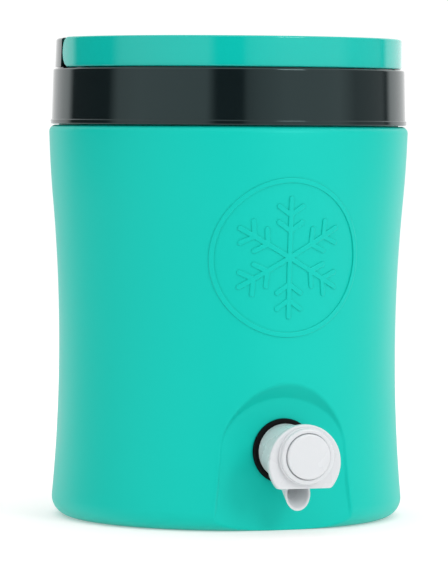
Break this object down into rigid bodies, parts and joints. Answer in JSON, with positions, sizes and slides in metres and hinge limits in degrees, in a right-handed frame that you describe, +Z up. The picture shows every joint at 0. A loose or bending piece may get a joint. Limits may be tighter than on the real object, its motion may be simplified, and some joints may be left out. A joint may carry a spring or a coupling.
{
  "type": "insulated water jug",
  "caption": "Waisted insulated jug with a screw lid, a folding bail handle and a push-button tap in an arched recess.",
  "frame": {"origin": "on the jug's vertical axis, in the plane of its base", "axes": "+Z up along the jug's axis; the tap faces -Y; the bail pivots about a line parallel to X"},
  "size_m": [0.2148, 0.2437, 0.2853],
  "materials": {
    "body_turquoise": "satin",
    "handle_turquoise": "gloss",
    "collar_charcoal": "gloss",
    "tap_white": "gloss",
    "liner_white": "satin",
    "seal_black": "matte",
    "foam_cream": "matte",
    "plug_charcoal": "matte",
    "spring_steel": "satin"
  },
  "bodies": {
    "jug": {"outer_shell": "body_turquoise", "fill_plug": "plug_charcoal", "foam_fill": "foam_cream", "inner_liner": "liner_white", "collar": "collar_charcoal", "tap_body": "tap_white", "tap_gasket": "seal_black", "tap_sleeve": "liner_white", "tap_inner_washer": "seal_black", "tap_nut": "liner_white", "tap_flange": "tap_white", "button_ring": "tap_white", "stem_seal": "seal_black", "tap_spring": "spring_steel"},
    "bail": {"handle": "handle_turquoise"},
    "lid_seal": {"lid_gasket": "seal_black"},
    "lid": {"lid_shell": "body_turquoise", "lid_foam": "foam_cream", "lid_inner": "liner_white"},
    "tap_plunger": {"tap_button": "tap_white", "tap_stem": "liner_white", "valve_seal": "seal_black", "seal_retainer": "liner_white"}
  },
  "joints": [
    {"name": "bail_pivot", "type": "hinge", "parent": "jug", "child": "bail", "pos_m": [0, -0.004, 0.2763], "axis": [-1, 0, 0], "range_deg": [0, 90]},
    {"name": "lid_lift", "type": "slide", "parent": "jug", "child": "lid_seal", "axis": [0, 0, 1], "range_m": [0, 0.0181]},
    {"name": "lid_turn", "type": "hinge", "parent": "lid_seal", "child": "lid", "pos_m": [0, 0, 0.27], "axis": [0, 0, 1], "range_deg": [0, 180]},
    {"name": "tap_press", "type": "slide", "parent": "jug", "child": "tap_plunger", "axis": [0, 1, 0], "range_m": [0, 0.004], "stiffness_N_per_m": 800, "springref_m": -0.004, "deforming": ["tap_spring"]}
  ],
  "couplings": [
    {"joint": "lid_lift", "follows": "lid_turn", "m_per_rad": 0.0057296}
  ]
}
